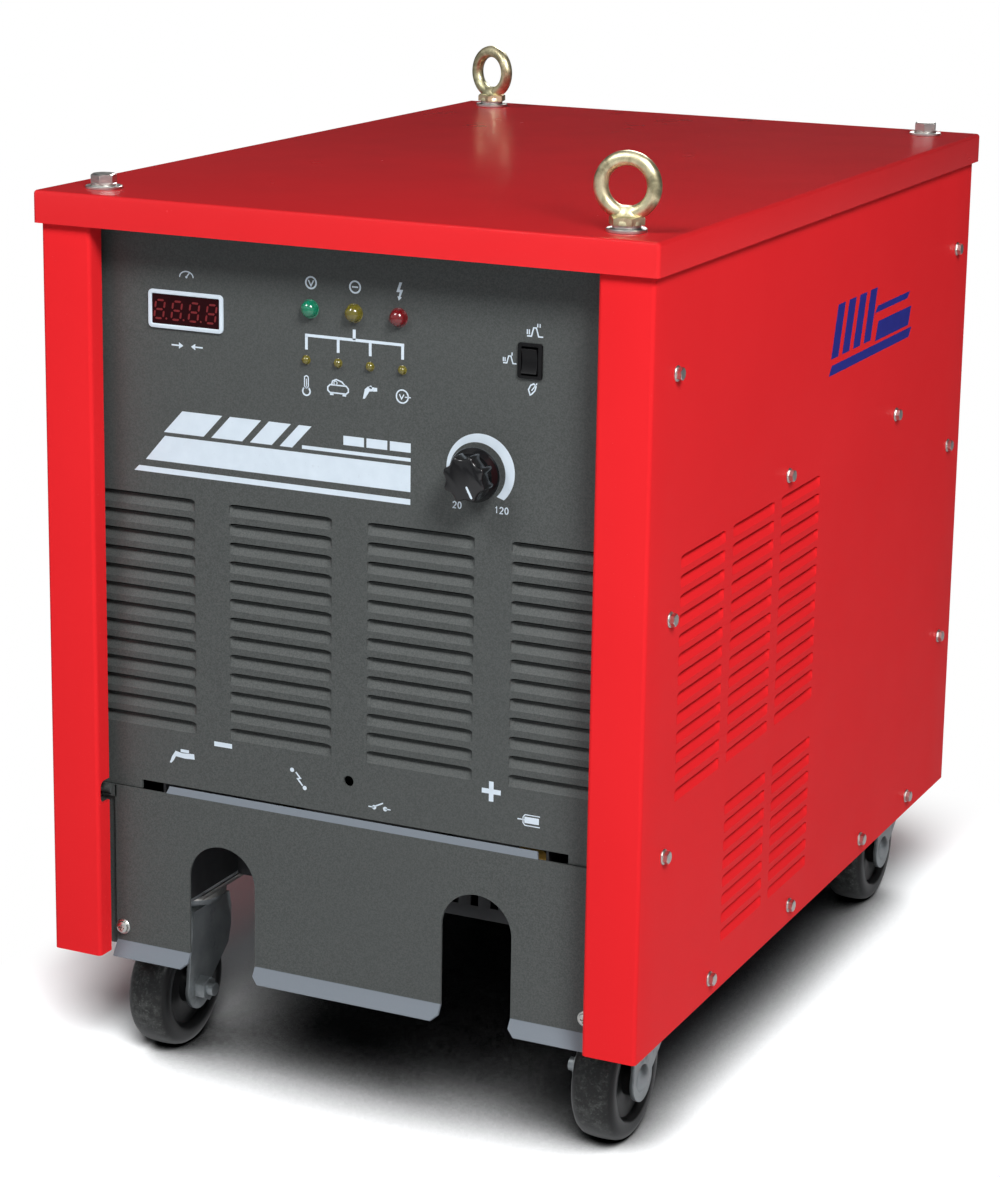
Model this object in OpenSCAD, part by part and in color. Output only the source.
// Plasma cutter unit: an inverter power source in a sheet-steel cabinet on four swivel casters.
// +X is the cabinet's right, seen from the front. The front faces -Y and +Z is up.
// The origin is on the floor, under the middle of the top cover. All sizes are millimetres.

/* [Cabinet] */
// Width of the top cover
cab_w = 380; // [350:1:460]
// Depth of the top cover
cab_d = 560; // [500:1:680]
// Height of the cover's top face above the floor
cab_h = 529; // [440:1:640]
// Thickness of the outer sheets
sheet = 1.6; // [1.2:0.1:2]
// Outside radius of the bends
bend_r = 2.4; // [2.1:0.1:4]
// Depth of the skirt folded down round the cover
skirt_h = 18.5; // [14:0.5:24]
// Gap between the skirt and the side panels
skirt_gap = 1.6; // [1:0.1:2.4]
// Clearance of the side panels' lower edge over the wheels
wheel_headroom = 2; // [2:0.5:6]
// Width of the flange that a side panel turns across the front and the rear
flange_w = 32; // [26:1:38]
// Depth of the lip along the front flange's inner edge
lip_d = 12; // [8:0.5:14]
// Setback of the front panel behind the flanges
front_setback = 19; // [17:0.5:26]
// Setback of the rear panel in front of the flanges
rear_setback = 14; // [12:0.5:20]

/* [Louvres] */
// Length of one louvre
louvre_len = 66; // [50:1:70]
// Distance from one louvre to the next
louvre_pitch = 11; // [10:0.5:14]
// Height of one louvre
louvre_h = 7.2; // [6:0.1:8]
// Height of the open slit along a louvre's top
slit_h = 2.5; // [2:0.1:3.2]
// How far a louvre is pressed in
louvre_depth = 3; // [2.4:0.1:4]
// Distance between the front panel's louvre columns
front_column_pitch = 88.2; // [80:0.1:95]
// Distance between the side panels' louvre columns
side_column_pitch = 77.5; // [74:0.5:90]
// Top of the front louvres below the cover's top face
front_louvre_drop = 172.5; // [165:0.5:190]
// Top of the side louvres below the cover's top face
side_louvre_drop = 176; // [165:0.5:190]

/* [Terminal cover] */
// Gap between the terminal cover's ends and the flanges' lips
cover_gap = 1.8; // [1.2:0.1:4]
// Height of the cover's hinge line above the base pan
cover_hinge_up = 75.5; // [70:0.5:90]
// Inset of the bent top strip from the cover's ends
strip_inset = 34; // [30:1:60]
// Distance of the cable arches from the middle
arch_x = 82; // [60:0.5:90]
// Radius of the cable arches
arch_r = 21.8; // [14:0.2:26]
// Height of the arches' crown above the base pan
arch_up = 51.5; // [45:0.5:56]
// Length of the cover's flared lower lip
lip_len = 9.8; // [6:0.2:12]
// Angle of the lower lip from the vertical
lip_angle = 32; // [15:1:45]
// Depth of the terminal bay behind the flanges' face
bay_depth = 104; // [90:1:120]
// Inset of the terminal bay from the cover's ends
bay_inset = 31; // [28:1:40]

/* [Controls] */
// Middle of the display from the middle of the panel
display_x = -104; // [-115:0.5:-95]
// Outside width of the display's bezel
display_w = 48.4; // [40:0.2:56]
// Outside height of the display's bezel
display_h = 21.8; // [18:0.2:26]
// Radius of the three large lamps
lamp_r = 5; // [4:0.1:6]
// Distance between the large lamps
lamp_pitch = 27.3; // [20:0.1:32]
// Radius of the four small lamps
fault_lamp_r = 2.5; // [1.5:0.1:3]
// Distance between the small lamps
fault_lamp_pitch = 19.8; // [14:0.1:22]
// Middle of the lamps from the middle of the panel
lamp_x = 2.5; // [-10:0.5:10]
// Middle of the mode switch from the middle of the panel
rocker_x = 108.5; // [100:0.5:120]
// Middle of the current knob from the middle of the panel
knob_x = 79.5; // [70:0.5:90]
// Radius of the knob's skirt
knob_r = 15.2; // [12:0.2:18]
// Radius over the knob's lobes
knob_lobe_r = 12.7; // [10:0.1:13]
// Height of the knob's face above the panel
knob_top = 20.5; // [18:0.5:22]

/* [Lifting] */
// Outside diameter of an eye bolt's ring
eye_od = 37; // [36:0.5:50]
// Inside diameter of an eye bolt's ring
eye_id = 21; // [20:0.5:28]
// Diameter of an eye bolt's shank
eye_shank_d = 8; // [8:1:12]
// Inset of the lifting points from the cover's side edges
lift_side_inset = 30; // [28:1:40]
// Inset of the lifting points from the cover's front and rear edges
lift_inset = 27; // [24:0.5:32]
// Turn of the front eye bolt's ring
front_eye_turn = 7; // [-90:1:90]
// Turn of the rear eye bolt's ring
rear_eye_turn = -20; // [-90:1:90]

/* [Casters] */
// Diameter of the wheels
wheel_d = 75; // [62:1:90]
// Width of the wheels' tread
wheel_w = 26; // [20:1:32]
// Height of the base pan over the wheels
caster_rise = 25; // [24:1:32]
// Distance of a wheel's axle ahead of its swivel
trail = 18; // [14:1:20]
// Diameter of the axle bolts
axle_d = 8; // [6:1:8]
// Thickness of the forks
fork_t = 2.5; // [2:0.5:3]
// Inset of the swivels from the side panels
caster_inset_x = 39.2; // [38:0.2:46]
// Inset of the front swivels from the flanges' face
caster_inset_front = 87.8; // [80:0.2:120]
// Inset of the rear swivels from the rear flanges
caster_inset_rear = 36.8; // [36.5:0.1:80]

/* [Inside] */
// Drop of the shelf's screw line below the cover's top face
shelf_drop = 165.3; // [155:0.1:180]
// Size of the fan's square frame
fan_size = 150; // [120:1:160]
// Radius of the fan's blades
fan_r = 66; // [50:1:70]
// Diameter of the mains cable that the gland grips
mains_cable_d = 16; // [12:1:18]

/* [Hidden] */
$fn = 48;

// Colours
red = [0.80, 0.11, 0.12];
grey = [0.31, 0.33, 0.33];
zinc = [0.72, 0.74, 0.76];
gold = [0.70, 0.62, 0.36];
black = [0.07, 0.07, 0.07];
steel = [0.55, 0.57, 0.58];
copper = [0.72, 0.42, 0.22];
brass = [0.78, 0.62, 0.28];
board_green = [0.10, 0.36, 0.20];
cream = [0.88, 0.84, 0.72];
white = [0.90, 0.92, 0.94];

// Clearances and small fits
joint_gap = 0.3;   // between pieces on different bodies
run_gap = 0.06;    // radial, a shaft in its bore
thread_gap = 0.05; // radial, a fastener in its frame
box_gap = 0.8;     // the terminal box behind the front panel, clear of the cover's swing
hole_gap = 0.4;    // radial, a fastener through a cover
over = 1;          // how far a cut runs past its faces

// Cabinet planes
side_x = cab_w / 2 - sheet - skirt_gap;
face_y = cab_d / 2 - sheet - skirt_gap;
frame_x = side_x - sheet;
front_lip_x = side_x - flange_w;
panel_y = -face_y + front_setback;
panel_back = panel_y + sheet;
rear_y = face_y - rear_setback;
rear_in = rear_y - sheet;
cover_under = cab_h - sheet;

// Heights
base_z = wheel_d + caster_rise;
pan_t = 2;
pan_top = base_z + pan_t;
panel_low = wheel_d + wheel_headroom;
pan_skirt_low = panel_low + 2;
pan_rear = face_y - bend_r;
top_frame_h = 16;
frame_low = cover_under - top_frame_h;
shelf_screw_z = cab_h - shelf_drop;
shelf_t = 1.6;
shelf_under = shelf_screw_z + 6.7;
shelf_top = shelf_under + shelf_t;
hinge_z = base_z + cover_hinge_up;
hinge_y = panel_y - joint_gap - sheet / 2;
cover_top = hinge_z + 3;
window_top = hinge_z + 8.5;
cover_half = front_lip_x - cover_gap;
strip_half = cover_half - strip_inset;
window_half = cover_half - 16.5;
cover_screw_z = base_z - 9;
cover_screw_x = cover_half - 3.5;
bay_y = -face_y + bay_depth;
bay_half = cover_half - bay_inset;
bay_top = window_top + 2;
fold_z = panel_low + 5.8;

// Control heights, measured down from the cover's top face
display_z = cab_h - 64.6;
lamp_z = cab_h - 56.3;
fault_lamp_z = cab_h - 85;
rocker_z = cab_h - 72.6;
knob_z = cab_h - 136.6;
socket_hole_z = window_top + 20.5;

// Side screws: the column by each post, the shelf line and the base line
post_w = 25;
post_t = 2;
post_flange = 17;
front_screw_y = panel_back + 12.2;
rear_screw_y = rear_in - 12.2;
high_screw_z = cab_h - 74;
low_screw_z = panel_low + 110;
column_screw_zs = [high_screw_z, (high_screw_z + low_screw_z) / 2, low_screw_z];
shelf_screw_ys = [-64.8, 132.5];
base_screw_ys = [-168.5, -37.2, 96.5, 192.5];
base_screw_z = pan_skirt_low + 9.5;
side_screw_yz = concat(
    [for (z = column_screw_zs) [front_screw_y, z]],
    [for (z = column_screw_zs) [rear_screw_y, z]],
    [for (y = shelf_screw_ys) [y, shelf_screw_z]],
    [for (y = base_screw_ys) [y, base_screw_z]]
);
screw_r = 2;

// Casters
axle_z = wheel_d / 2;
axle_r = axle_d / 2;
caster_x = side_x - caster_inset_x - sheet;
front_swivel_y = -face_y + caster_inset_front;
rear_swivel_y = face_y - caster_inset_rear;
hub_w = wheel_w + 2.5;
fork_gap = hub_w + 2 * 0.55;
fork_half = fork_gap / 2 + fork_t;
crown_z = base_z - 12.5;
crown_t = 2.5;
kingpin_r = 5;
plate_t = 2.5;
plate_x = 50;
plate_y = 54;
plate_bolt_x = 18;
plate_bolt_y = 20;
plate_hole_r = 3.2;

// Lifting points
lift_x = cab_w / 2 - lift_side_inset;
lift_y = cab_d / 2 - lift_inset;
cover_bolt_r = 4;
eye_r = eye_shank_d / 2;
eye_ring_r = (eye_od + eye_id) / 4;
eye_wire_r = (eye_od - eye_id) / 4;
washer_t = 2;
lock_washer_t = 2;

// ---------------------------------------------------------------- helpers

// A rectangle with round corners, centred
module round_rect(w, d, r) {
    square([w - 2 * r, d], center = true);
    square([w, d - 2 * r], center = true);
    for (x = [-1, 1]) {
        for (y = [-1, 1]) {
            translate([x * (w / 2 - r), y * (d / 2 - r)]) circle(r = r);
        }
    }
}

// A box given by its two corners
module box(lo, hi) {
    translate(lo) cube(hi - lo);
}

// A cylinder along X from x0 to x1
module rod_x(x0, x1, y, z, r, fn = 48) {
    translate([x0, y, z]) rotate([0, 90, 0]) cylinder(h = x1 - x0, r = r, $fn = fn);
}

// A cylinder along Y from y0 to y1
module rod_y(x, y0, y1, z, r, fn = 48) {
    translate([x, y0, z]) rotate([-90, 0, 0]) cylinder(h = y1 - y0, r = r, $fn = fn);
}

// A cylinder along Z from z0 to z1
module rod_z(x, y, z0, z1, r, fn = 48) {
    translate([x, y, z0]) cylinder(h = z1 - z0, r = r, $fn = fn);
}

// Both sides of the cabinet
module both_sides() {
    children();
    mirror([1, 0, 0]) children();
}

// ---------------------------------------------------------------- louvres

// A louvre block lies in the XZ plane, centred on X, with its first slit's top edge at z = 0.
// +Y is into the cabinet.
ramp_len = sqrt(pow(louvre_depth, 2) + pow(louvre_h - slit_h, 2));
hood_dy = sheet * (louvre_h - slit_h) / ramp_len;
hood_dz = -sheet * louvre_depth / ramp_len;
ramp_slope = (louvre_h - slit_h) / louvre_depth;
louvre_cheek_out = 0.4; // how far a louvre's cheeks stand past its slit
louvre_post_gap = 0.3;  // between a cheek and a corner post

function louvre_rows(top, bottom) = floor((top - bottom) / louvre_pitch);

// One row: the ramp from the slit down to the sheet, and the land below it
function louvre_outline(k) =
    let (z = -k * louvre_pitch)
    let (hood = [louvre_depth + hood_dy, z - slit_h + hood_dz])
    [
        [louvre_depth, z - slit_h],
        [0, z - louvre_h],
        [0, z - louvre_pitch],
        [sheet, z - louvre_pitch],
        [sheet, hood[1] - (hood[0] - sheet) * ramp_slope],
        hood
    ];

// The cheek that closes a row's end behind the sheet
function louvre_cheek(k) =
    let (z = -k * louvre_pitch)
    [
        [sheet / 2, z - louvre_h],
        [louvre_depth + hood_dy, z - slit_h + hood_dz],
        [louvre_depth + hood_dy, z + 0.4],
        [sheet / 2, z + 0.4]
    ];

module louvre_cut(rows) {
    box([-louvre_len / 2, -over, -rows * louvre_pitch], [louvre_len / 2, sheet + over, 0]);
}

module louvre_rows_solid(rows) {
    half = louvre_len / 2 + louvre_cheek_out;
    for (k = [0:rows - 1]) {
        translate([-half, 0, 0]) rotate([90, 0, 90]) linear_extrude(2 * half) polygon(louvre_outline(k));
        translate([-half, 0, 0]) rotate([90, 0, 90]) linear_extrude(sheet) polygon(louvre_cheek(k));
        translate([half - sheet, 0, 0]) rotate([90, 0, 90]) linear_extrude(sheet) polygon(louvre_cheek(k));
    }
}

// ---------------------------------------------------------------- outer shell

module top_cover() {
    color(red) difference() {
        box([-cab_w / 2, -cab_d / 2, cab_h - skirt_h], [cab_w / 2, cab_d / 2, cab_h]);
        box([-cab_w / 2 + sheet, -cab_d / 2 + sheet, cab_h - skirt_h - over],
            [cab_w / 2 - sheet, cab_d / 2 - sheet, cover_under]);
        for (x = [-1, 1]) {
            for (y = [-1, 1]) {
                hole = x * y < 0 ? eye_r : cover_bolt_r;
                rod_z(x * lift_x, y * lift_y, cover_under - over, cab_h + over, hole + hole_gap);
            }
        }
    }
}

notch_z = hinge_z + 2;
notch_h = 13.6;
notch_r = 4;
lip_top_gap = 0.3;
panel_head_gap = 1;

// Side louvre columns, from the front: three in the upper block, the last two again below
first_column_y = panel_back + post_w + louvre_post_gap + louvre_cheek_out + louvre_len / 2;
side_columns = [for (i = [0:2]) first_column_y + i * side_column_pitch];
low_block_top = panel_low + 112.3;
low_block_rows = louvre_rows(low_block_top, panel_low + 24);
high_block_top = cab_h - side_louvre_drop;
high_block_rows = louvre_rows(high_block_top, low_block_top + 20);

module panel_section() {
    intersection() {
        difference() {
            round_rect(2 * side_x, 2 * face_y, bend_r);
            round_rect(2 * frame_x, 2 * (face_y - sheet), bend_r - sheet);
        }
        translate([front_lip_x, -face_y - over]) square([flange_w + over, 2 * face_y + 2 * over]);
    }
    translate([front_lip_x, -face_y]) square([sheet, lip_d]);
}

// The notch in the front lip that the terminal cover's ear passes
module lip_notch() {
    x0 = front_lip_x - over;
    x1 = front_lip_x + sheet + over;
    y0 = -face_y + bend_r + notch_r;
    box([x0, y0, notch_z - notch_h / 2], [x1, -face_y + lip_d + over, notch_z + notch_h / 2]);
    box([x0, y0 - notch_r, notch_z - notch_h / 2 + notch_r],
        [x1, y0 + over, notch_z + notch_h / 2 - notch_r]);
    for (s = [-1, 1]) {
        rod_x(x0, x1, y0, notch_z + s * (notch_h / 2 - notch_r), notch_r);
    }
}

module side_panel() {
    difference() {
        translate([0, 0, panel_low]) linear_extrude(cover_under - panel_head_gap - panel_low) panel_section();
        lip_notch();
        // The lip stops under the top frame
        box([front_lip_x - over, -face_y + sheet, frame_low - lip_top_gap],
            [front_lip_x + 2 * sheet, -face_y + lip_d + over, cab_h]);
        for (p = side_screw_yz) {
            rod_x(frame_x - over, side_x + over, p[0], p[1], screw_r + hole_gap);
        }
        for (y = side_columns) {
            translate([side_x, y, high_block_top]) rotate([0, 0, 90]) louvre_cut(high_block_rows);
        }
        for (y = [side_columns[1], side_columns[2]]) {
            translate([side_x, y, low_block_top]) rotate([0, 0, 90]) louvre_cut(low_block_rows);
        }
    }
    for (y = side_columns) {
        translate([side_x, y, high_block_top]) rotate([0, 0, 90]) louvre_rows_solid(high_block_rows);
    }
    for (y = [side_columns[1], side_columns[2]]) {
        translate([side_x, y, low_block_top]) rotate([0, 0, 90]) louvre_rows_solid(low_block_rows);
    }
}

module right_side_panel() {
    color(red) side_panel();
}

module left_side_panel() {
    color(red) mirror([1, 0, 0]) side_panel();
}

// Front panel: columns of louvres over a window that the terminal cover closes
front_louvre_top = cab_h - front_louvre_drop;
front_rows = louvre_rows(front_louvre_top, window_top + 29);
// As many columns as fit between the front posts
front_field = 2 * (frame_x - post_flange - louvre_post_gap - louvre_cheek_out);
front_count = floor((front_field + front_column_pitch - louvre_len) / front_column_pitch);
front_columns = [for (i = [0:front_count - 1]) (i - (front_count - 1) / 2) * front_column_pitch];
panel_top = frame_low - 0.2;
panel_side_gap = 0.4;
bracket_gap = 0.5;
panel_hole_gap = 0.1;
socket_hole_r = 3.2;
bracket_x = front_lip_x + 9.7;

module front_panel() {
    color(grey) {
        difference() {
            box([-frame_x + panel_side_gap, panel_y, pan_skirt_low],
                [frame_x - panel_side_gap, panel_back, panel_top]);
            // Window for the terminals, wider behind the cover's hinge line
            box([-window_half, panel_y - over, pan_skirt_low - over],
                [window_half, panel_back + over, window_top]);
            box([-bracket_x - bracket_gap, panel_y - over, hinge_z - 4.5],
                [bracket_x + bracket_gap, panel_back + over, cover_top + 0.2]);
            for (x = front_columns) {
                translate([x, panel_y, front_louvre_top]) louvre_cut(front_rows);
            }
            box([display_x - display_w / 2 + 2, panel_y - over, display_z - display_h / 2 + 2],
                [display_x + display_w / 2 - 2, panel_back + over, display_z + display_h / 2 - 2]);
            for (i = [-1:1]) {
                rod_y(lamp_x + i * lamp_pitch, panel_y - over, panel_back + over, lamp_z,
                      lamp_r + panel_hole_gap);
            }
            for (i = [-1.5:1:1.5]) {
                rod_y(lamp_x + i * fault_lamp_pitch, panel_y - over, panel_back + over, fault_lamp_z,
                      fault_lamp_r + panel_hole_gap);
            }
            box([rocker_x - rocker_body_w / 2 - panel_hole_gap, panel_y - over,
                 rocker_z - rocker_body_h / 2 - panel_hole_gap],
                [rocker_x + rocker_body_w / 2 + panel_hole_gap, panel_back + over,
                 rocker_z + rocker_body_h / 2 + panel_hole_gap]);
            rod_y(knob_x, panel_y - over, panel_back + over, knob_z, pot_bush_r + thread_gap);
            rod_y(0, panel_y - over, panel_back + over, socket_hole_z, socket_hole_r);
            for (x = [-1, 1]) {
                rod_y(x * cover_screw_x, panel_y - over, panel_back + over, cover_screw_z, screw_r + 0.8);
            }
        }
        for (x = front_columns) {
            translate([x, panel_y, front_louvre_top]) louvre_rows_solid(front_rows);
        }
    }
}

// Rear panel: punched slots in front of the fan, the mains gland, the breaker and the air inlet
fan_z = base_z + 128;
gland_x = 120;
gland_z = base_z + 50;
breaker_x = -118;
breaker_z = cab_h - 110;
air_x = -120;
air_z = base_z + 50;
rear_screw_zs = [pan_top + 20, (panel_low + cab_h) / 2, cab_h - 60];
rear_screw_x = frame_x - 9;
fan_slot_h = 5;
fan_slot_pitch = 10;
fan_slot_rib = 6;

function chord(r, z) = sqrt(max(0, r * r - z * z));

module rear_panel() {
    color(red) difference() {
        box([-frame_x + panel_side_gap, rear_in, pan_top], [frame_x - panel_side_gap, rear_y, panel_top]);
        for (k = [-6:6]) {
            z = k * fan_slot_pitch;
            half = chord(fan_r, z);
            third = (2 * half - 2 * fan_slot_rib) / 3;
            for (i = [-1:1]) {
                x = i * (third + fan_slot_rib);
                box([x - third / 2, rear_in - over, fan_z + z - fan_slot_h / 2],
                    [x + third / 2, rear_y + over, fan_z + z + fan_slot_h / 2]);
            }
        }
        rod_y(gland_x, rear_in - over, rear_y + over, gland_z, gland_thread_r + thread_gap);
        rod_y(air_x, rear_in - over, rear_y + over, air_z, air_neck_r + thread_gap);
        box([breaker_x - breaker_w / 2 - 0.2, rear_in - over, breaker_z - breaker_h / 2 - 0.2],
            [breaker_x + breaker_w / 2 + 0.2, rear_y + over, breaker_z + breaker_h / 2 + 0.2]);
        for (x = [-1, 1]) {
            for (z = rear_screw_zs) {
                rod_y(x * rear_screw_x, rear_in - over, rear_y + over, z, screw_r + hole_gap);
            }
        }
    }
}

// ---------------------------------------------------------------- frame

module base_pan() {
    color(steel) difference() {
        union() {
            box([-frame_x, panel_back, base_z], [frame_x, pan_rear, pan_top]);
            both_sides() box([frame_x - pan_t, panel_back, pan_skirt_low],
                             [frame_x, pan_rear, base_z + over]);
        }
        // The terminal bay is open below
        box([-bay_half, panel_back - over, base_z - over], [bay_half, bay_y + sheet, pan_top + over]);
        both_sides() {
            for (y = base_screw_ys) {
                rod_x(frame_x - pan_t - over, frame_x + over, y, base_screw_z, screw_r + thread_gap);
            }
            for (s = [front_swivel_y, rear_swivel_y]) {
                for (x = [-1, 1]) {
                    for (y = [-1, 1]) {
                        rod_z(caster_x + x * plate_bolt_x, s + y * plate_bolt_y,
                              base_z - over, pan_top + over, plate_hole_r);
                    }
                }
            }
        }
        // Intake slots under the power stage
        for (k = [-4:4]) {
            box([-40, k * 22 - 3, base_z - over], [10, k * 22 + 3, pan_top + over]);
        }
    }
}

module corner_post(y_face, y_turn) {
    difference() {
        union() {
            translate([frame_x - post_t, y_turn > 0 ? y_face : y_face - post_w, pan_top])
                cube([post_t, post_w, frame_low - pan_top]);
            translate([frame_x - post_flange, y_turn > 0 ? y_face : y_face - post_t, pan_top])
                cube([post_flange, post_t, frame_low - pan_top]);
        }
        for (p = side_screw_yz) {
            rod_x(frame_x - post_t - over, frame_x + over, p[0], p[1], screw_r + thread_gap);
        }
        for (z = rear_screw_zs) {
            rod_y(rear_screw_x, rear_in - post_t - over, rear_in + over, z, screw_r + thread_gap);
        }
    }
}

module corner_posts() {
    color(steel) both_sides() {
        corner_post(panel_back, 1);
        corner_post(rear_in, -1);
    }
}

top_rail_t = 2;
rail_side_w = 16;
rail_end_y = lift_y - 15;
boss_r = 9;

module top_frame() {
    color(steel) {
        difference() {
            box([-frame_x, -pan_rear, frame_low], [frame_x, pan_rear, cover_under]);
            box([-frame_x + rail_side_w, -rail_end_y, frame_low - over],
                [frame_x - rail_side_w, rail_end_y, cover_under + over]);
            // The rails are channels, open below
            difference() {
                box([-frame_x + top_rail_t, -pan_rear + top_rail_t, frame_low - over],
                    [frame_x - top_rail_t, pan_rear - top_rail_t, cover_under - top_rail_t]);
                box([-frame_x + rail_side_w - top_rail_t, -rail_end_y - top_rail_t, frame_low - 2 * over],
                    [frame_x - rail_side_w + top_rail_t, rail_end_y + top_rail_t, cover_under]);
                for (x = [-1, 1]) {
                    for (y = [-1, 1]) {
                        rod_z(x * lift_x, y * lift_y, frame_low - over, cover_under, boss_r);
                    }
                }
            }
            for (x = [-1, 1]) {
                for (y = [-1, 1]) {
                    hole = x * y < 0 ? eye_r : cover_bolt_r;
                    rod_z(x * lift_x, y * lift_y, frame_low - over, cover_under + over, hole + thread_gap);
                }
            }
        }
    }
}

rail_t = 2;
rail_w = 15;
rail_h = 16;

module shelf_rails() {
    color(steel) both_sides() difference() {
        union() {
            box([frame_x - rail_t, panel_back + post_w, shelf_under - rail_h],
                [frame_x, rear_in - post_w, shelf_under]);
            box([frame_x - rail_w, panel_back + post_t, shelf_under - rail_t],
                [frame_x - post_t, rear_in - post_t, shelf_under]);
        }
        for (y = shelf_screw_ys) {
            rod_x(frame_x - rail_t - over, frame_x + over, y, shelf_screw_z, screw_r + thread_gap);
        }
    }
}

shelf_front = -128;
shelf_rear = 196;
shelf_fold = 10;
shelf_hole_r = 12;

module shelf() {
    color(steel) difference() {
        union() {
            box([-frame_x + post_t, shelf_front, shelf_under], [frame_x - post_t, shelf_rear, shelf_top]);
            for (y = [shelf_front, shelf_rear - shelf_t]) {
                box([-frame_x + rail_w + 1, y, shelf_under - shelf_fold],
                    [frame_x - rail_w - 1, y + shelf_t, shelf_top]);
            }
        }
        // Cable pass-through holes
        for (y = [-90, 170]) {
            for (x = [-140, 140]) {
                rod_z(x, y, shelf_under - over, shelf_top + over, shelf_hole_r);
            }
        }
    }
}

// ---------------------------------------------------------------- terminal bay

vent_w = 5;
vent_pitch = 13;
vent_low = base_z + 8;
vent_high = base_z + 24;
board_half = bay_half - 10;
board_low = base_z + 26;
board_high = base_z + 62;
board_t = 6;
board_face = bay_y - board_t;
torch_term_x = -arch_x;
pilot_x = -18;
switch_socket_x = 22;
work_x = arch_x;
term_z = base_z + arch_up - 9.5; // the terminals' axes pass through the arches
terminal_hole_r = 15;

module terminal_box() {
    color(grey) {
        // Hood: a roof and two walls, which stand on the pan
        difference() {
            box([-bay_half - sheet, panel_back + box_gap, pan_top],
                [bay_half + sheet, bay_y - thread_gap, bay_top + sheet]);
            box([-bay_half, panel_back, pan_top - over], [bay_half, bay_y, bay_top]);
        }
        difference() {
            union() {
                box([-bay_half - sheet, bay_y, pan_top], [bay_half + sheet, bay_y + sheet, bay_top + sheet]);
                box([-bay_half, bay_y, base_z], [bay_half, bay_y + sheet, bay_top]);
            }
            // Vent slots under the terminals
            for (k = [-8:8]) {
                box([k * vent_pitch - vent_w / 2, bay_y - over, vent_low],
                    [k * vent_pitch + vent_w / 2, bay_y + sheet + over, vent_high]);
            }
            // Holes behind the terminals
            rod_y(torch_term_x, bay_y - over, bay_y + sheet + over, term_z, terminal_hole_r);
            rod_y(work_x, bay_y - over, bay_y + sheet + over, term_z, terminal_hole_r);
            rod_y(pilot_x, bay_y - over, bay_y + sheet + over, term_z, 8);
            rod_y(switch_socket_x, bay_y - over, bay_y + sheet + over, term_z, 9.5);
        }
    }
}

torch_bore_r = 9;
work_bore_r = 12;
pilot_stud_r = 3;
pilot_root_r = 4;
pilot_collar_t = 5.5;
pilot_stud_len = 10.5;
socket_r = 8;

module terminal_board() {
    color(black) difference() {
        box([-board_half, board_face, board_low], [board_half, bay_y, board_high]);
        rod_y(torch_term_x, board_face - over, bay_y + over, term_z, torch_bore_r + thread_gap);
        rod_y(work_x, board_face - over, bay_y + over, term_z, work_bore_r + thread_gap);
        rod_y(pilot_x, board_face - over, bay_y + over, term_z, pilot_root_r + thread_gap);
        rod_y(switch_socket_x, board_face - over, bay_y + over, term_z, socket_r + thread_gap);
    }
}

torch_nipple_r = 7;
torch_nipple_len = 14;

// Gas and power connector of the torch lead: hexagon, male nipple and air bore
module torch_terminal() {
    color(brass) difference() {
        union() {
            rod_y(torch_term_x, board_face - 7, board_face, term_z, 12.7, 6);
            rod_y(torch_term_x, board_face - 0.5, bay_y + 12, term_z, torch_bore_r);
            rod_y(torch_term_x, board_face - 7 - torch_nipple_len, board_face - 6, term_z, torch_nipple_r);
        }
        rod_y(torch_term_x, board_face - 40, bay_y + 40, term_z, 3);
    }
}

module pilot_terminal() {
    collar_face = board_face - pilot_collar_t;
    color(brass) union() {
        rod_y(pilot_x, collar_face - pilot_stud_len, collar_face + over, term_z, pilot_stud_r);
        rod_y(pilot_x, collar_face, board_face, term_z, 5.8, 6);
        rod_y(pilot_x, board_face - over, bay_y + 7, term_z, pilot_root_r);
    }
}

work_socket_r = 6.6;
work_socket_len = 20;

// Socket of the work lead's quick connector
module work_terminal() {
    color(brass) difference() {
        union() {
            rod_y(work_x, board_face - 8, board_face, term_z, 15);
            rod_y(work_x, board_face - 0.5, bay_y + 16, term_z, work_bore_r);
        }
        rod_y(work_x, board_face - 8 - over, board_face - 8 + work_socket_len, term_z, work_socket_r);
    }
}

module torch_switch_socket() {
    color(zinc) difference() {
        union() {
            rod_y(switch_socket_x, board_face - 2.5, board_face, term_z, 10.5);
            rod_y(switch_socket_x, board_face - 9, board_face - 2, term_z, socket_r - 0.6);
            rod_y(switch_socket_x, board_face - 0.5, bay_y + 12, term_z, socket_r);
        }
        rod_y(switch_socket_x, board_face - 9 - over, board_face + 2, term_z, socket_r - 2.4);
    }
}

// ---------------------------------------------------------------- terminal cover

pin_r = 2;
knuckle_r = 3;
strip_angle = 23;
strip_h = 5.2;
lip_inset = 0.8;
ear_end = front_lip_x + 8.2;
ear_half_h = 2.4;
ear_knuckle = 6.4;

module hinge_brackets() {
    color(zinc) both_sides() {
        box([bracket_x, panel_y - 4.5, hinge_z - 6], [bracket_x + 2, panel_y, hinge_z + 6]);
        box([bracket_x, panel_y - 1.6, hinge_z - 6], [bracket_x + 12, panel_y, hinge_z + 6]);
        rod_x(ear_end - 6, bracket_x + 0.4, hinge_y, hinge_z, pin_r);
    }
}

// One segment of the flared lip, hanging from the fold line and drawn in the XZ plane
module lip_segment(x0, x1, cut0, cut1) {
    c = 4.5; // corner cut
    translate([0, panel_y - joint_gap, fold_z]) rotate([-lip_angle, 0, 0]) rotate([90, 0, 0])
        linear_extrude(sheet) polygon([
            [x0, 0], [x1, 0], [x1, -lip_len + cut1 * c], [x1 - cut1 * c, -lip_len],
            [x0 + cut0 * c, -lip_len], [x0, -lip_len + cut0 * c]
        ]);
}

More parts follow.
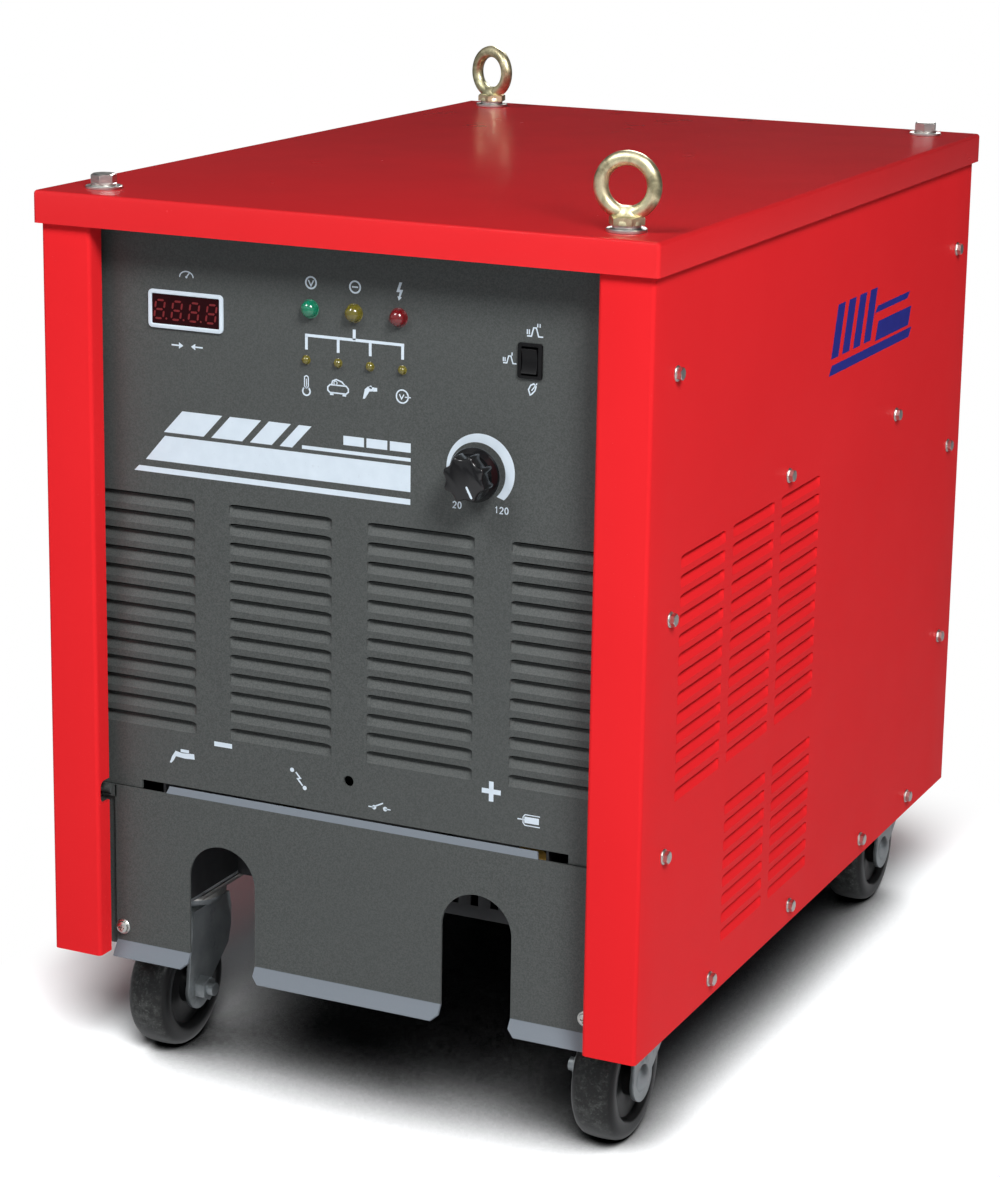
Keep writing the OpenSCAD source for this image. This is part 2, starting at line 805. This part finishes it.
module terminal_cover() {
    y1 = panel_y - joint_gap;
    y0 = y1 - sheet;
    color(grey) difference() {
        union() {
            box([-cover_half, y0, fold_z], [cover_half, y1, cover_top]);
            // Bent top strip, leaning back into the window
            translate([-strip_half, y0, cover_top]) rotate([-strip_angle, 0, 0])
                cube([2 * strip_half, sheet, strip_h]);
            lip_segment(-cover_half + lip_inset, -arch_x - arch_r - lip_inset, 0, 1);
            lip_segment(-arch_x + arch_r + lip_inset, arch_x - arch_r - lip_inset, 1, 1);
            lip_segment(arch_x + arch_r + lip_inset, cover_half - lip_inset, 1, 0);
            both_sides() {
                box([cover_half - over, y0, hinge_z - ear_half_h], [ear_end, y1, hinge_z + ear_half_h]);
                rod_x(ear_end - ear_knuckle, ear_end, hinge_y, hinge_z, knuckle_r);
            }
        }
        both_sides() {
            rod_x(ear_end - 8, ear_end + over, hinge_y, hinge_z, pin_r + run_gap);
            rod_y(arch_x, y0 - over, y1 + over, base_z + arch_up - arch_r, arch_r);
            box([arch_x - arch_r, y0 - lip_len - over, fold_z - 2 * lip_len],
                [arch_x + arch_r, y1 + over, base_z + arch_up - arch_r]);
            rod_y(cover_screw_x, y0 - over, y1 + over, cover_screw_z, screw_r + thread_gap);
        }
    }
}

module cover_screws() {
    y0 = panel_y - joint_gap - sheet;
    color(zinc) both_sides() difference() {
        union() {
            rod_y(cover_screw_x, y0 - 0.9, y0, cover_screw_z, 4.6);
            rod_y(cover_screw_x, y0 - 3, y0 - 0.8, cover_screw_z, 3.7);
            rod_y(cover_screw_x, y0 - 1, panel_back + 1, cover_screw_z, screw_r);
        }
        translate([cover_screw_x, y0 - 3, cover_screw_z]) cube([0.9, 2.4, 3.6], center = true);
        translate([cover_screw_x, y0 - 3, cover_screw_z]) cube([3.6, 2.4, 0.9], center = true);
    }
}

// ---------------------------------------------------------------- lifting and fasteners

eye_collar_h = 7;
eye_collar_r = 9.9;
eye_center_up = 20;
washer_r = 10.9;
lock_washer_r = 7.7;
eye_seat = cab_h + washer_t + lock_washer_t;

module eye_bolt(turn) {
    translate([0, 0, eye_center_up]) rotate([90, 0, turn]) rotate_extrude()
        translate([eye_ring_r, 0]) circle(r = eye_wire_r);
    rotate([0, 0, turn + 30]) cylinder(h = eye_collar_h - 1.2, r = eye_collar_r, $fn = 6);
    rotate([0, 0, turn + 30]) translate([0, 0, eye_collar_h - 1.4]) cylinder(h = 1.4, r = eye_collar_r - 1.4, $fn = 6);
    translate([0, 0, -18]) cylinder(h = 19, r = eye_r);
}

module eye_bolts() {
    color(gold) {
        translate([lift_x, -lift_y, eye_seat]) eye_bolt(front_eye_turn);
        translate([-lift_x, lift_y, eye_seat]) eye_bolt(rear_eye_turn);
    }
}

module ring(r_out, r_in, h) {
    difference() {
        cylinder(h = h, r = r_out);
        translate([0, 0, -over]) cylinder(h = h + 2 * over, r = r_in);
    }
}

module eye_bolt_washers() {
    color(zinc) {
        for (s = [-1, 1]) {
            translate([s * lift_x, -s * lift_y, cab_h]) ring(washer_r, eye_r + 0.2, washer_t);
            translate([s * lift_x, -s * lift_y, cab_h + washer_t]) ring(lock_washer_r, eye_r + 0.15, lock_washer_t);
        }
    }
}

module cover_bolt() {
    translate([0, 0, 1.6]) cylinder(h = 1.6, r = 7.4);
    translate([0, 0, 3.1]) cylinder(h = 5.3, r = 7.5, $fn = 6);
    translate([0, 0, -16]) cylinder(h = 18, r = cover_bolt_r);
    ring(10.5, cover_bolt_r + 0.3, 1.6);
}

module cover_bolts() {
    color(zinc) {
        for (s = [-1, 1]) {
            translate([s * lift_x, s * lift_y, cab_h]) rotate([0, 0, 12]) cover_bolt();
        }
    }
}

// Hexagon washer-head screw along +X, its bearing face at x = 0
module hex_screw(depth) {
    rod_x(0, 0.9, 0, 0, 4.4);
    rod_x(0.8, 3.8, 0, 0, 3.75, 6);
    rod_x(-depth, 0.5, 0, 0, screw_r);
}

module side_screws() {
    color(zinc) both_sides() {
        for (p = side_screw_yz) {
            translate([side_x, p[0], p[1]]) rotate([p[0] + p[1], 0, 0]) hex_screw(sheet + post_t + 1);
        }
    }
}

module rear_screws() {
    color(zinc) both_sides() {
        for (z = rear_screw_zs) {
            translate([rear_screw_x, rear_y, z]) rotate([0, 0, 90]) rotate([z, 0, 0])
                hex_screw(sheet + post_t + 1);
        }
    }
}

// ---------------------------------------------------------------- controls

bezel_t = 1.2;

module display_bezel() {
    color(white) difference() {
        translate([display_x, panel_y, display_z]) rotate([90, 0, 0]) linear_extrude(bezel_t)
            round_rect(display_w, display_h, 2.6);
        box([display_x - display_w / 2 + 2.4, panel_y - bezel_t - over, display_z - display_h / 2 + 2.4],
            [display_x + display_w / 2 - 2.4, panel_y + over, display_z + display_h / 2 - 2.4]);
    }
}

module display_window() {
    color([0.20, 0.02, 0.03]) union() {
        box([display_x - display_w / 2 + 2.4, panel_y - 0.5, display_z - display_h / 2 + 2.4],
            [display_x + display_w / 2 - 2.4, panel_back + 1, display_z + display_h / 2 - 2.4]);
        box([display_x - display_w / 2, panel_back, display_z - display_h / 2],
            [display_x + display_w / 2, panel_back + 2.4, display_z + display_h / 2]);
    }
}

led_back = panel_back + 8;

module display_board() {
    x0 = display_x - display_w / 2 - 6;
    x1 = lamp_x + 1.5 * fault_lamp_pitch + 18;
    color(board_green) {
        box([x0, led_back, fault_lamp_z - 16], [x1, led_back + 1.6, lamp_z + 16]);
        // Driver chips
        for (i = [0:3]) {
            box([x0 + 12 + i * 30, led_back + 1.6, fault_lamp_z - 8],
                [x0 + 30 + i * 30, led_back + 4.6, fault_lamp_z]);
        }
        // Digit block behind the window
        box([display_x - 22, panel_back + 2.4, display_z - 9], [display_x + 22, led_back, display_z + 9]);
        // Stand-offs to the panel
        for (x = [x0 + 4, x1 - 4]) {
            rod_y(x, panel_back, led_back, lamp_z + 12, 3);
            rod_y(x, panel_back, led_back, fault_lamp_z - 12, 3);
        }
    }
}

// A domed lamp in the panel
module lamp(x, z, r, proud) {
    rod_y(x, panel_y - proud, led_back, z, r);
    translate([x, panel_y - proud, z]) rotate([90, 0, 0]) rotate_extrude() intersection() {
        circle(r = r);
        square([r, r]);
    }
    rod_y(x, panel_back, panel_back + 1.2, z, r + 0.5);
}

module green_lamp() {
    color([0.08, 0.55, 0.38]) lamp(lamp_x - lamp_pitch, lamp_z, lamp_r, 0.8);
}

module amber_lamp() {
    color([0.55, 0.50, 0.12]) lamp(lamp_x, lamp_z, lamp_r, 0.8);
}

module red_lamp() {
    color([0.55, 0.04, 0.07]) lamp(lamp_x + lamp_pitch, lamp_z, lamp_r, 0.8);
}

module fault_lamps() {
    color([0.50, 0.46, 0.14]) for (i = [-1.5:1:1.5]) {
        lamp(lamp_x + i * fault_lamp_pitch, fault_lamp_z, fault_lamp_r, 0.2);
    }
}

rocker_body_w = 12.6;
rocker_body_h = 17.2;
rocker_w = 9.2;
rocker_h = 13.4;
rocker_axis_y = panel_y + 2.5;

module mode_switch_body() {
    color(black) difference() {
        union() {
            translate([rocker_x, panel_y, rocker_z]) rotate([90, 0, 0]) linear_extrude(1.4)
                round_rect(14.4, 19.2, 1.2);
            box([rocker_x - rocker_body_w / 2, panel_y - 0.5, rocker_z - rocker_body_h / 2],
                [rocker_x + rocker_body_w / 2, panel_back + 14, rocker_z + rocker_body_h / 2]);
            for (z = [-1:1]) {
                box([rocker_x - 2.4, panel_back + 13, rocker_z + z * 5 - 0.4],
                    [rocker_x + 2.4, panel_back + 21, rocker_z + z * 5 + 0.4]);
            }
        }
        box([rocker_x - rocker_w / 2 - 0.3, panel_y - 3, rocker_z - rocker_h / 2 - 1.1],
            [rocker_x + rocker_w / 2 + 0.3, panel_y + 8, rocker_z + rocker_h / 2 + 1.1]);
    }
}

// The rocker is a shallow V about its pivot
module mode_rocker() {
    h = rocker_h / 2;
    color(black) translate([rocker_x - rocker_w / 2, rocker_axis_y, rocker_z]) rotate([90, 0, 90])
        linear_extrude(rocker_w) polygon([
            [-5.4, -h], [-3.6, -h * 0.45], [-3.4, 0], [-3.6, h * 0.45], [-5.4, h],
            [-1.5, h - 0.2], [1.8, 1.6], [1.8, -1.6], [-1.5, -h + 0.2]
        ]);
}

pot_bush_r = 4.9;
pot_can_r = 12;
shaft_r = 3;
knob_base = 6;

module potentiometer() {
    color(zinc) difference() {
        union() {
            rod_y(knob_x, panel_back, panel_back + 11, knob_z, pot_can_r);
            rod_y(knob_x, panel_y - 4.5, panel_back + 1, knob_z, pot_bush_r);
            rod_y(knob_x, panel_y - 2.8, panel_y, knob_z, 7, 6);
        }
        rod_y(knob_x, panel_y - 6, panel_back + 9, knob_z, shaft_r + run_gap);
    }
}

lobes = 8;
flute_r = 7.5;
flute_out = 5.5;
pointer_turn = 152; // clockwise from the top, at the maximum

// Fluted knob with a skirt, on its shaft. The face is flat and square to the shaft.
module current_knob() {
    y_face = panel_y - knob_top;
    y_base = panel_y - knob_base;
    color(black) difference() {
        union() {
            translate([knob_x, y_base, knob_z]) rotate([90, 0, 0]) rotate_extrude()
                polygon([[0, 0], [knob_r, 0], [knob_r, 1.6], [knob_lobe_r, 5.2], [0, 5.2]]);
            translate([knob_x, y_base, knob_z]) rotate([90, 0, 0]) linear_extrude(knob_top - knob_base)
                difference() {
                    circle(r = knob_lobe_r);
                    for (i = [0:lobes - 1]) {
                        rotate(90 - pointer_turn + (i + 0.5) * 360 / lobes)
                            translate([knob_lobe_r + flute_out, 0]) circle(r = flute_r);
                    }
                }
            rod_y(knob_x, y_face + 4, panel_back + 7, knob_z, shaft_r);
        }
        // Seat of the pointer line
        translate([knob_x, y_face, knob_z]) rotate([0, pointer_turn, 0]) translate([-0.6, -over, 4])
            cube([1.2, over + 0.4, 7.2]);
    }
}

module knob_pointer() {
    y_face = panel_y - knob_top;
    color(white) translate([knob_x, y_face, knob_z]) rotate([0, pointer_turn, 0]) translate([-0.6, 0, 4])
        cube([1.2, 0.4, 7.2]);
}

// ---------------------------------------------------------------- power stage

sink_x = -62;
sink_low = pan_top + 24;
sink_high = min(shelf_under - 24, sink_low + 210);
sink_y0 = -110;
sink_y1 = 100;
fin_pitch = 10;
fin_len = 52;

module heat_sink() {
    fins = floor((sink_high - sink_low) / fin_pitch);
    color([0.75, 0.76, 0.78]) union() {
        box([sink_x - 10, sink_y0, sink_low], [sink_x, sink_y1, sink_high]);
        for (k = [0:fins]) {
            z = sink_low + k * fin_pitch;
            if (z + 2.4 <= sink_high) {
                box([sink_x - 0.5, sink_y0, z], [sink_x + fin_len, sink_y1, z + 2.4]);
            }
        }
    }
}

module heat_sink_blocks() {
    color(cream) for (y = [sink_y0 + 15, sink_y1 - 15]) {
        box([sink_x - 10, y - 10, pan_top], [sink_x + fin_len, y + 10, sink_low]);
    }
}

module power_modules() {
    color(black) for (i = [0:2]) {
        y = sink_y0 + 38 + i * 67;
        box([sink_x - 40, y - 17, sink_low + 50], [sink_x - 10, y + 17, sink_low + 144]);
        for (k = [-1:1]) {
            rod_x(sink_x - 46, sink_x - 39.5, y, sink_low + 97 + k * 28, 4);
        }
    }
}

module bus_capacitors() {
    color([0.12, 0.14, 0.30]) for (i = [0:3]) {
        y = -86 + i * 56;
        rod_z(-142, y, pan_top, pan_top + 96, 24);
        rod_z(-149, y, pan_top + 95, pan_top + 100, 5);
        rod_z(-135, y, pan_top + 95, pan_top + 100, 5);
    }
}

core_x = 92;
core_y = -18;
core_w = 90;
core_d = 56;
core_h = 84;
core_limb = 18;

// Shell core: two windows, one each side of the middle limb
module transformer_core() {
    color([0.20, 0.20, 0.21]) difference() {
        box([core_x - core_w / 2, core_y - core_d / 2, pan_top],
            [core_x + core_w / 2, core_y + core_d / 2, pan_top + core_h]);
        for (s = [-1, 1]) {
            x0 = core_x + s * (core_limb / 2 + 13.5);
            box([x0 - 13.5, core_y - core_d / 2 - over, pan_top + core_limb],
                [x0 + 13.5, core_y + core_d / 2 + over, pan_top + core_h - core_limb]);
        }
    }
}

module transformer_winding() {
    z0 = pan_top + core_limb + 1;
    z1 = pan_top + core_h - core_limb - 1;
    color(copper) difference() {
        translate([core_x, core_y, z0]) linear_extrude(z1 - z0) round_rect(core_limb + 48, core_d + 44, 16);
        box([core_x - core_limb / 2 - 0.3, core_y - core_d / 2 - 0.3, z0 - over],
            [core_x + core_limb / 2 + 0.3, core_y + core_d / 2 + 0.3, z1 + over]);
    }
}

module output_choke() {
    color(copper) {
        translate([90, 118, pan_top + 30]) rotate([90, 0, 0]) translate([0, 0, -26]) difference() {
            cylinder(h = 52, r = 30);
            translate([0, 0, -over]) cylinder(h = 52 + 2 * over, r = 14);
        }
    }
}

module arc_starter() {
    color([0.16, 0.16, 0.18]) {
        box([52, -150, pan_top], [132, -100, pan_top + 62]);
        for (x = [66, 118]) {
            rod_z(x, -125, pan_top + 61, pan_top + 72, 5);
        }
    }
}

module control_board() {
    z = shelf_top + 10;
    color(board_green) {
        box([-120, -100, z], [90, 60, z + 1.6]);
        for (x = [-114, 84]) {
            for (y = [-94, 54]) {
                rod_z(x, y, shelf_top, z, 3);
            }
        }
        for (i = [0:3]) {
            box([-110 + i * 48, -86, z + 1.6], [-84 + i * 48, -66, z + 20]);
        }
        for (i = [0:4]) {
            rod_z(-100 + i * 36, -20, z + 1.5, z + 24, 7);
        }
        box([20, 16, z + 1.6], [76, 50, z + 34]);
    }
}

// ---------------------------------------------------------------- rear equipment

fan_depth = 38;
fan_hub_r = 26;
fan_duct_r = fan_r + 3;
fan_shaft_r = 3;
fan_front = rear_in - fan_depth;

module fan_frame() {
    color(black) difference() {
        union() {
            difference() {
                box([-fan_size / 2, fan_front, fan_z - fan_size / 2],
                    [fan_size / 2, rear_in, fan_z + fan_size / 2]);
                rod_y(0, fan_front - over, rear_in + over, fan_z, fan_duct_r);
            }
            for (a = [0, 90]) {
                translate([0, fan_front, fan_z]) rotate([0, a + 45, 0])
                    box([-fan_duct_r - 1, 0, -3], [fan_duct_r + 1, 4, 3]);
            }
            rod_y(0, fan_front, fan_front + 6, fan_z, fan_hub_r);
            rod_y(0, fan_front + 5, fan_front + 33, fan_z, fan_shaft_r);
        }
    }
}

module fan_rotor() {
    blade_angle = 35;
    y0 = fan_front + 6.5;
    color([0.14, 0.14, 0.15]) difference() {
        union() {
            rod_y(0, y0, y0 + 24, fan_z, fan_hub_r);
            for (i = [0:6]) {
                translate([0, y0 + 12, fan_z]) rotate([0, i * 360 / 7, 0]) rotate([blade_angle, 0, 0])
                    translate([fan_hub_r - 2, -1, -13]) cube([fan_r - fan_hub_r + 1, 2, 26]);
            }
        }
        rod_y(0, y0 - over, y0 + 28, fan_z, fan_shaft_r + run_gap);
    }
}

gland_thread_r = 12.5;
gland_bore_r = mains_cable_d / 2 + 0.3;

module mains_gland() {
    color(black) difference() {
        union() {
            rod_y(gland_x, rear_y, rear_y + 5, gland_z, 16.5, 6);
            rod_y(gland_x, rear_y + 4, rear_y + 14.5, gland_z, 14.4);
            rod_y(gland_x, rear_in - 10, rear_y + 1, gland_z, gland_thread_r);
            rod_y(gland_x, rear_in - 5.5, rear_in, gland_z, 16.5, 6);
        }
        rod_y(gland_x, rear_in - 12, rear_y + 16, gland_z, gland_bore_r);
    }
}

breaker_w = 54;
breaker_h = 46;
toggle_w = 30;
toggle_axis_y = rear_y - 4;

module breaker_body() {
    color([0.82, 0.83, 0.83]) difference() {
        union() {
            box([breaker_x - breaker_w / 2, rear_in - 60, breaker_z - breaker_h / 2],
                [breaker_x + breaker_w / 2, rear_y + 1, breaker_z + breaker_h / 2]);
            box([breaker_x - breaker_w / 2 - 4, rear_y, breaker_z - breaker_h / 2 - 4],
                [breaker_x + breaker_w / 2 + 4, rear_y + 2, breaker_z + breaker_h / 2 + 4]);
        }
        box([breaker_x - toggle_w / 2 - 0.5, rear_y - 16, breaker_z - 12],
            [breaker_x + toggle_w / 2 + 0.5, rear_y + 4, breaker_z + 12]);
    }
}

toggle_rest = 24;

module breaker_toggle() {
    color(black) translate([breaker_x, toggle_axis_y, breaker_z]) {
        rod_x(-toggle_w / 2, toggle_w / 2, 0, 0, 5);
        rotate([toggle_rest, 0, 0]) box([-toggle_w / 2, 0, -2.2], [toggle_w / 2, 16, 2.2]);
    }
}

air_neck_r = 6.5;
air_bore_r = 3.5;
nipple_r = 4.8;

// Air inlet nipple with its solenoid valve behind the panel
module air_valve() {
    color(brass) difference() {
        union() {
            rod_y(air_x, rear_y, rear_y + 5, air_z, 10, 6);
            rod_y(air_x, rear_in - 8, rear_y + 1, air_z, air_neck_r);
            rod_y(air_x, rear_y + 4, rear_y + 16.5, air_z, nipple_r);
            box([air_x - 14, rear_in - 40, air_z - 14], [air_x + 14, rear_in - 7, air_z + 14]);
            rod_z(air_x, rear_in - 24, air_z + 13, air_z + 48, 12);
            box([air_x - 14, rear_in - 40, pan_top], [air_x + 14, rear_in - 37, air_z - 13]);
        }
        rod_y(air_x, rear_in - 20, rear_y + 20, air_z, air_bore_r);
    }
}

// ---------------------------------------------------------------- casters

// Plate, ball race and kingpin, round the swivel's axis
module caster_plate() {
    difference() {
        box([-plate_x / 2, -plate_y / 2, base_z - plate_t], [plate_x / 2, plate_y / 2, base_z]);
        for (x = [-1, 1]) {
            for (y = [-1, 1]) {
                rod_z(x * plate_bolt_x, y * plate_bolt_y, base_z - plate_t - over, base_z + over,
                      plate_hole_r);
            }
        }
    }
    rod_z(0, 0, crown_z + 4, base_z - plate_t + 0.5, 22);
    rod_z(0, 0, crown_z - crown_t - 1, base_z - plate_t, kingpin_r);
    rod_z(0, 0, crown_z - crown_t - 4, crown_z - crown_t - 0.5, 8);
}

module caster_plates() {
    color(zinc) for (x = [-1, 1]) {
        for (y = [front_swivel_y, rear_swivel_y]) {
            translate([x * caster_x, y, 0]) caster_plate();
        }
    }
}

// A fork's cheek in the YZ plane, measured from the axle
module fork_cheek() {
    top = crown_z - axle_z;
    circle(r = 13.5);
    polygon([
        [-13.3, -2], [-10.5, 0.5 * top], [-8, 0.88 * top], [-6, top], [35, top], [37.5, 0.8 * top],
        [37, 0.56 * top], [33.5, 0.34 * top], [12.5, 0.5], [10, -9], [0, -12], [-10, -9]
    ]);
}

// Fork with its axle bolt and nut, round the swivel's axis, the bolt's head towards +X
module caster_fork() {
    difference() {
        union() {
            for (x = [-fork_half, fork_half - fork_t]) {
                translate([x, -trail, axle_z]) rotate([90, 0, 90]) linear_extrude(fork_t) fork_cheek();
            }
            box([-fork_half, -trail - 6, crown_z - crown_t], [fork_half, -trail + 35, crown_z]);
            rod_z(0, 0, crown_z - 0.5, crown_z + 4 - joint_gap, 20);
        }
        rod_x(-fork_half - over, fork_half + over, -trail, axle_z, axle_r + thread_gap);
        rod_z(0, 0, crown_z - crown_t - over, crown_z + 5, kingpin_r + run_gap);
    }
    // Axle bolt with its domed head
    rod_x(-fork_half - 10.5, fork_half + 1, -trail, axle_z, axle_r);
    translate([fork_half, -trail, axle_z]) rotate([0, 90, 0]) rotate_extrude() intersection() {
        translate([0, -8]) circle(r = 11.6);
        square([8.3, 6]);
    }
    // Nut
    difference() {
        rod_x(-fork_half - 6.5, -fork_half, -trail, axle_z, 7.5, 6);
        rod_x(-fork_half - 8, -fork_half + 1, -trail, axle_z, axle_r + thread_gap);
    }
}

module caster_wheel() {
    r = wheel_d / 2;
    w = wheel_w / 2;
    s = 6;                   // shoulder radius of the tread
    bore = axle_r + run_gap;
    hub = 11;
    rim = 26;
    web = w - 5;
    translate([0, -trail, axle_z]) rotate([0, 90, 0]) rotate_extrude() difference() {
        union() {
            polygon([
                [bore, -hub_w / 2], [hub, -hub_w / 2], [hub, -web], [rim - 2, -web], [rim, -w],
                [r - s, -w], [r, -w + s], [r, w - s], [r - s, w],
                [rim, w], [rim - 2, web], [hub, web], [hub, hub_w / 2], [bore, hub_w / 2]
            ]);
            for (y = [-w + s, w - s]) {
                translate([r - s, y]) circle(r = s);
            }
        }
    }
}

// A caster's piece at one corner; the left ones are mirrored so that each bolt's head is outside
module at_corner(x, y) {
    translate([x * caster_x, y, 0]) mirror([x < 0 ? 1 : 0, 0, 0]) children();
}

module caster_fork_fl() {
    color(zinc) at_corner(-1, front_swivel_y) caster_fork();
}

module caster_fork_fr() {
    color(zinc) at_corner(1, front_swivel_y) caster_fork();
}

module caster_fork_rl() {
    color(zinc) at_corner(-1, rear_swivel_y) caster_fork();
}

module caster_fork_rr() {
    color(zinc) at_corner(1, rear_swivel_y) caster_fork();
}

module caster_wheel_fl() {
    color(black) at_corner(-1, front_swivel_y) caster_wheel();
}

module caster_wheel_fr() {
    color(black) at_corner(1, front_swivel_y) caster_wheel();
}

module caster_wheel_rl() {
    color(black) at_corner(-1, rear_swivel_y) caster_wheel();
}

module caster_wheel_rr() {
    color(black) at_corner(1, rear_swivel_y) caster_wheel();
}

// ---------------------------------------------------------------- nodes

top_cover();
left_side_panel();
right_side_panel();
front_panel();
rear_panel();
base_pan();
corner_posts();
top_frame();
shelf_rails();
shelf();
terminal_box();
terminal_board();
torch_terminal();
pilot_terminal();
work_terminal();
torch_switch_socket();
hinge_brackets();
terminal_cover();
cover_screws();
eye_bolts();
eye_bolt_washers();
cover_bolts();
side_screws();
rear_screws();
display_bezel();
display_window();
display_board();
green_lamp();
amber_lamp();
red_lamp();
fault_lamps();
mode_switch_body();
mode_rocker();
potentiometer();
current_knob();
knob_pointer();
heat_sink();
power_modules();
heat_sink_blocks();
bus_capacitors();
transformer_core();
transformer_winding();
output_choke();
arc_starter();
control_board();
fan_frame();
fan_rotor();
mains_gland();
breaker_body();
breaker_toggle();
air_valve();
caster_plates();
caster_fork_fl();
caster_fork_fr();
caster_fork_rl();
caster_fork_rr();
caster_wheel_fl();
caster_wheel_fr();
caster_wheel_rl();
caster_wheel_rr();
